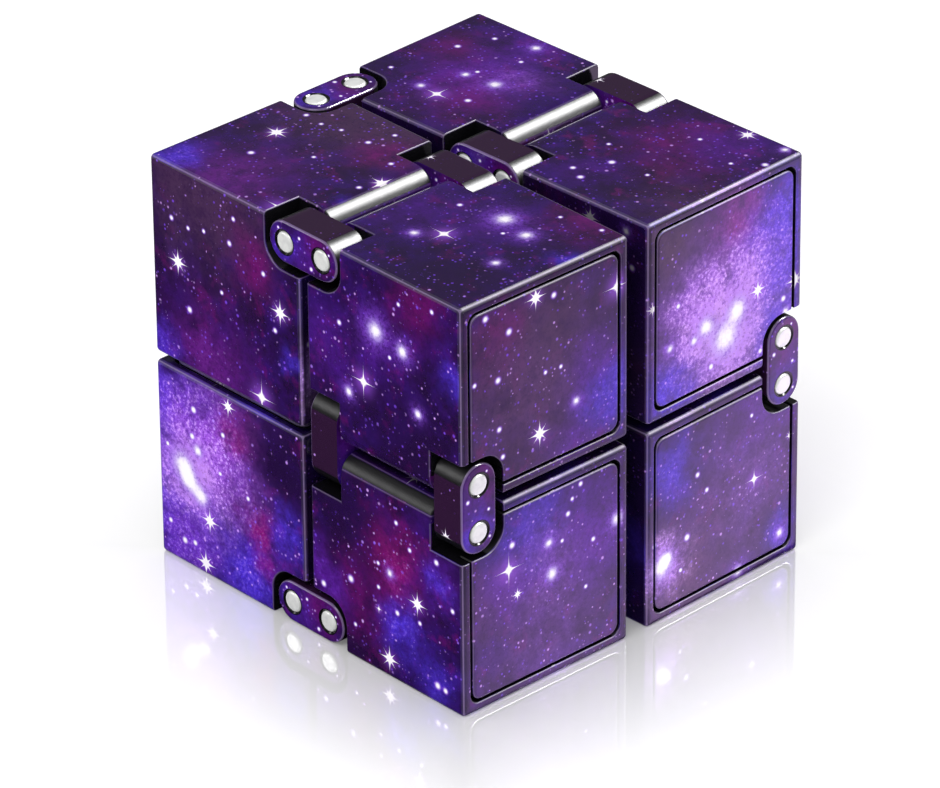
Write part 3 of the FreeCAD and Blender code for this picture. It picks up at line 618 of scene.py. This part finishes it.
def cube_material(name):
    """Printed film on a glossy black cube, bare in the notches, the groove and on the hinge roundings."""
    sides, x_tile, other_tile = CUBES[name]
    tree = new_tree(f"{name}_print")
    low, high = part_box(f"{name}_shell")
    place, facing = own_space(tree, (low + high) / 2, REAR_TURN if sides[1] > 0 else 0.0)
    flat = page_of(tree, place, facing)
    colour = galaxy(tree, place, flat, (x_tile, other_tile), Vector(sides) * CUBE_SEED + SEED_AWAY)
    depth, inset = face_distances(tree, place)
    rounding, barrel, line = hinge_shares(tree, place, sides)
    off_round = tree.math("SUBTRACT", 1.0, rounding)
    x, y, z = tree.parts(tree.vector("ABSOLUTE", facing))
    square = tree.math("MAXIMUM", tree.math("MAXIMUM", x, y), z)

    # Painted shade on the faces that look into the seams, and on the frames round the covers of the X
    # faces.
    in_seam = tree.ramp(tree.vector("DOT_PRODUCT", facing, tuple(-side for side in sides)), 0.5, 0.9)
    colour = tree.blend(tree.math("MULTIPLY", in_seam, SEAM_SHADE), colour, SHADE)
    on_frame = tree.math("MULTIPLY", tree.ramp(inset, COVER_RIM, COVER_RIM / 2), tree.ramp(x, 0.8, 0.95))
    colour = tree.blend(tree.math("MULTIPLY", on_frame, FRAME_SHADE), colour, SHADE)
    # Painted highlight: a pale line on the cube's rounded edges and beside the bare part of its hinge
    # roundings.
    edge_highlight = tree.math("MULTIPLY", tree.ramp(square, 0.84, 0.75), off_round)
    edge_highlight = tree.math("MAXIMUM", edge_highlight, tree.math("MULTIPLY", line, LINE_HIGHLIGHT_SHARE))
    colour = tree.blend(tree.math("MULTIPLY", edge_highlight, EDGE_HIGHLIGHT_STRENGTH), colour, EDGE)
    sunk = tree.math("MULTIPLY_ADD", rounding, -FILM_ON_ROUND, depth)
    bare = tree.math("MAXIMUM", tree.ramp(sunk, FILM_DEPTH, FILM_DEPTH + FILM_FADE), barrel)
    colour = tree.blend(bare, colour, BLACK)

    ripple = tree.noise(place, 0.9, 3.0)[0]
    edge = tree.math("MULTIPLY", tree.ramp(square, 0.998, 0.96), off_round)
    roughness = tree.math("MULTIPLY_ADD", ripple, RIPPLE_DULL, GLOSS)
    roughness = tree.math("MULTIPLY_ADD", barrel, BARREL_DULL, roughness)
    roughness = tree.math("MULTIPLY_ADD", edge, EDGE_DULL, roughness)
    shader = tree.principled(colour, roughness, ripple, RIPPLE_HEIGHT, IOR=PLASTIC_IOR)
    return tree.end_with(shader)


def link_material(name):
    """Printed film on the flats and sides of a link, and bare black round its ends and pins."""
    across_name, pin_name, turn = HINGES[name]
    across_axis, pin_axis = AXES[across_name], AXES[pin_name]
    tree = new_tree(f"{name}_print")
    low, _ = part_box(f"{name}_plate_1")
    _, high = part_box(f"{name}_plate_2")
    centre = (low + high) / 2
    place, facing = own_space(tree, centre, turn)
    place_parts, facing_parts = tree.parts(place), tree.parts(facing)
    across, pin = place_parts[across_axis], place_parts[pin_axis]
    out = place_parts[sum(AXES.values()) - across_axis - pin_axis]
    along_pin = tree.math("ABSOLUTE", facing_parts[pin_axis])
    along_link = tree.math("ABSOLUTE", facing_parts[across_axis])
    on_side = tree.math("GREATER_THAN", along_pin, 0.7)
    off_side = tree.math("SUBTRACT", 1.0, on_side)
    up = tree.math("ADD", tree.math("MULTIPLY", out, on_side), tree.math("MULTIPLY", pin, off_side))
    colour = galaxy(tree, place, tree.join(across, up, 0.0), ("link",), centre / MM * LINK_SEED)

    plain = tree.math("MULTIPLY", tree.ramp(along_pin, 0.5, 0.1), tree.ramp(tree.luma(colour), 0.3, 0.03))
    colour = tree.blend(plain, colour, PLATE)
    end = tree.math("MULTIPLY", tree.ramp(along_link, 0.2, 0.3), tree.ramp(along_pin, 0.6, 0.4))
    colour = tree.blend(end, colour, BLACK)
    # Painted highlight: a pale band on the link's rounded edges.
    edge_highlight = tree.math("MULTIPLY", tree.ramp(along_pin, 0.15, 0.4), tree.ramp(along_pin, 0.97, 0.8))
    colour = tree.blend(tree.math("MULTIPLY", edge_highlight, LINK_HIGHLIGHT_STRENGTH), colour, EDGE)
    beside = tree.math("SUBTRACT", tree.math("ABSOLUTE", across), PIN_SPREAD)
    from_pin = tree.vector("LENGTH", tree.join(beside, out, 0.0))
    ring = tree.math("MULTIPLY", tree.ramp(from_pin, PIN_RING + RING_FADE, PIN_RING), on_side)
    colour = tree.blend(ring, colour, BLACK)

    ripple = tree.noise(place, 1.4, 3.0)[0]
    roughness = tree.math("MULTIPLY_ADD", ripple, RIPPLE_DULL, GLOSS)
    roughness = tree.math("MULTIPLY_ADD", end, END_DULL, roughness)
    shader = tree.principled(colour, roughness, ripple, RIPPLE_HEIGHT, IOR=PLASTIC_IOR)
    return tree.end_with(shader)


def steel_material(name, colour, scale, stretch, roughness):
    """Turned or cut steel: fine marks stretched one way, and duller spots."""
    tree = new_tree(name)
    source = tree.add("ShaderNodeTexCoord")
    place = tree.scale(source.outputs["Object"], 1 / MM)
    marks = tree.noise(tree.vector("MULTIPLY", place, stretch), scale, 4.0, 0.7)[0]
    spots = tree.noise(place, 1.3, 3.0)[0]
    tinted = tree.blend(tree.math("MULTIPLY", tree.ramp(spots, 0.4, 0.75), 0.3), colour, WEIGHT_STEEL)
    dull = tree.math("MULTIPLY_ADD", marks, 0.2, roughness)
    return tree.end_with(tree.principled(tinted, dull, marks, STEEL_HEIGHT, Metallic=STEEL_METALLIC))


def wear(node, material):
    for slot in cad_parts[node].material_slots:
        slot.link = "OBJECT"
        slot.material = material


def dress_parts():
    for name in CUBES:
        printed = cube_material(name)
        for piece in ("shell", "cover"):
            wear(f"{name}_{piece}", printed)
    for name in HINGES:
        printed = link_material(name)
        for side in (1, 2):
            wear(f"{name}_plate_{side}", printed)
    pin_steel = steel_material("pin_steel_look", STEEL, 3.0, (1.0, 1.0, 1.0), 0.28)
    weight_steel = steel_material("weight_steel_look", WEIGHT_STEEL, 1.2, (1.0, 1.0, 8.0), 0.35)
    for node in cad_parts:
        if "_pin_" in node:
            wear(node, pin_steel)
        elif node.endswith("_weight"):
            wear(node, weight_steel)


# ---------------------------------------------------------------- studio, in metres

AZIMUTH, ELEVATION, ROLL = math.radians(47.55), math.radians(29.0), math.radians(-0.54)
DISTANCE = 0.6464
AIM = Vector((1.35, -2.25, 17.34)) * MM
LENS, SENSOR = 280.4, 36.0

FLOOR_REACH, FLOOR_LIFT = 6.0, 0.26
FLOOR_WHITES = ((0.86, 0.86, 0.865, 1), (0.88, 0.875, 0.885, 1))
# The mirror image in the floor: its strength at the footprint, the height on the cube at which it has
# faded, and how fast that height grows with the distance from the footprint along X and along Y.
MIRROR, MIRROR_HEIGHT = 0.46, 0.0135
MIRROR_RISE = (0.75, 0.82)

CARD_X, CARD_Y, CARD_DEPTH = (0.021, 0.3), (-0.06, 0.3), 0.5 * MM
CARD_TINT = (0.84, 0.62, 1.0, 1)
# The card's light: at the origin, its growth along X and Y, and its least and most.
CARD_LEVEL, CARD_GROWTH, CARD_LIMITS = 2.4, (-36.0, 23.0), (0.25, 1.9)

# The dome's strength for soft light and mirrors, its strength for gloss, and the heights where the second
# begins and is full.
DOME, DOME_GLOSS, DOME_START, DOME_FULL = 1.06, 0.16, -0.05, 0.1


def away(azimuth, elevation):
    """The unit vector to something seen at that azimuth from the -Y side, and that height, in radians."""
    level = math.cos(elevation)
    return Vector((math.sin(azimuth) * level, -math.cos(azimuth) * level, math.sin(elevation)))


# Each soft box: the way to it from the cube's middle, its distance, width, height and power, and whether it
# also lights what isn't glossy.
SOFTBOXES = {
    "front_box": (away(math.radians(25), math.radians(52)), 0.9, 0.5, 0.4, 3.0, True),
    "rear_box": (Vector((0.315, 0.59, 0.744)), 0.6, 0.3, 0.26, 14.0, False),
    "left_box": (away(math.radians(-48), math.radians(20)), 0.7, 0.45, 0.2, 1.2, False),
}


def add_object(name, data):
    thing = bpy.data.objects.new(name, data)
    bpy.context.scene.collection.objects.link(thing)
    return thing


def add_camera():
    data = bpy.data.cameras.new("camera")
    data.lens, data.sensor_width = LENS, SENSOR
    data.clip_start, data.clip_end = 0.01, 20.0
    camera = add_object("camera", data)
    back = away(AZIMUTH, ELEVATION)
    right = Vector((math.cos(AZIMUTH), math.sin(AZIMUTH), 0))
    up = back.cross(right)
    turned = Matrix((right, up, back)).transposed().to_4x4() @ Matrix.Rotation(ROLL, 4, "Z")
    camera.matrix_world = Matrix.Translation(AIM + back * DISTANCE) @ turned
    bpy.context.scene.camera = camera


def add_plane(name, x_range, y_range, height, material):
    corners = [(x, y, height) for y in y_range for x in x_range]
    mesh = bpy.data.meshes.new(name)
    mesh.from_pydata(corners, [], [(0, 1, 3, 2)])
    mesh.materials.append(material)
    plane = add_object(name, mesh)
    return plane


def floor_material():
    """White, with a mirror image of the cube that fades away from its footprint."""
    tree = new_tree("floor_white")
    source = tree.add("ShaderNodeTexCoord")
    haze = tree.noise(source.outputs["Object"], 9.0, 3.0)[0]
    white = tree.blend(haze, *FLOOR_WHITES)
    x, y, _ = tree.parts(source.outputs["Object"])
    low, high = CAD_BOX
    along_x = tree.math("MAXIMUM", tree.math("SUBTRACT", x, high.x), tree.math("SUBTRACT", low.x, x))
    along_y = tree.math("MAXIMUM", tree.math("SUBTRACT", y, high.y), tree.math("SUBTRACT", low.y, y))
    heights = [tree.math("MULTIPLY", gap, rise) for gap, rise in zip((along_x, along_y), MIRROR_RISE)]
    share = tree.math("MAXIMUM", *heights)
    share = tree.math("MULTIPLY_ADD", share, -MIRROR / MIRROR_HEIGHT, MIRROR, clamp=True)
    plain = tree.add("ShaderNodeBsdfDiffuse")
    tree.feed(plain.inputs["Color"], white)
    mirror = tree.add("ShaderNodeBsdfAnisotropic")
    mirror.inputs["Color"].default_value = (1, 1, 1, 1)
    mirror.inputs["Roughness"].default_value = 0.0
    glow = tree.add("ShaderNodeAddShader")
    tree.links.new(plain.outputs[0], glow.inputs[0])
    tree.links.new(tree.light((1, 1, 1, 1), FLOOR_LIFT), glow.inputs[1])
    mixed = tree.add("ShaderNodeMixShader")
    tree.feed(mixed.inputs[0], tree.math("MINIMUM", share, MIRROR))
    tree.links.new(glow.outputs[0], mixed.inputs[1])
    tree.links.new(mirror.outputs[0], mixed.inputs[2])
    return tree.end_with(mixed.outputs[0])


def add_floor():
    reach = (-FLOOR_REACH, FLOOR_REACH)
    floor = add_plane("floor", reach, reach, 0, floor_material())
    floor.visible_glossy = False


def card_material():
    """Brighter towards the rear and close to the cube."""
    tree = new_tree("card_light")
    source = tree.add("ShaderNodeTexCoord")
    x, y, _ = tree.parts(source.outputs["Object"])
    by_x = tree.math("MULTIPLY_ADD", x, CARD_GROWTH[0], CARD_LEVEL)
    level = tree.math("ADD", by_x, tree.math("MULTIPLY", y, CARD_GROWTH[1]))
    level = tree.math("MINIMUM", tree.math("MAXIMUM", level, CARD_LIMITS[0]), CARD_LIMITS[1])
    return tree.end_with(tree.light(CARD_TINT, level))


def add_card():
    """A lit card lying to the right of the cube, which only shows as the sheen on its right faces."""
    card = add_plane("card", CARD_X, CARD_Y, -CARD_DEPTH, card_material())
    for kind in ("camera", "diffuse", "shadow", "transmission"):
        setattr(card, f"visible_{kind}", False)


def add_world():
    """An even pale dome for soft light and the mirror, and a dim one above the horizon for gloss."""
    tree = Tree(bpy.data.worlds.new("studio"))
    ray = tree.add("ShaderNodeLightPath")
    source = tree.add("ShaderNodeTexCoord")
    height = tree.parts(source.outputs["Generated"])[2]
    above = tree.math("MULTIPLY", tree.ramp(height, DOME_START, DOME_FULL, "LINEAR"), DOME_GLOSS)
    gloss = tree.mix("FLOAT", ray.outputs["Is Singular Ray"], above, 1.0)
    level = tree.mix("FLOAT", ray.outputs["Is Glossy Ray"], DOME, gloss)
    background = tree.add("ShaderNodeBackground")
    tree.feed(background.inputs["Strength"], level)
    bpy.context.scene.world = tree.end_with(background.outputs[0], "ShaderNodeOutputWorld")


def add_softbox(name, direction, distance, width, height, power, lights_all):
    data = bpy.data.lights.new(name, "AREA")
    data.shape = "RECTANGLE"
    data.size, data.size_y, data.energy = width, height, power
    light = add_object(name, data)
    light.location = (CAD_BOX[0] + CAD_BOX[1]) / 2 + direction * distance
    light.rotation_euler = direction.to_track_quat("Z", "Y").to_euler()
    light.visible_diffuse = lights_all


def add_lights():
    for name, settings in SOFTBOXES.items():
        add_softbox(name, *settings)


bpy.context.scene.view_settings.view_transform = "Standard"
dress_parts()
add_camera()
add_floor()
add_card()
add_world()
add_lights()
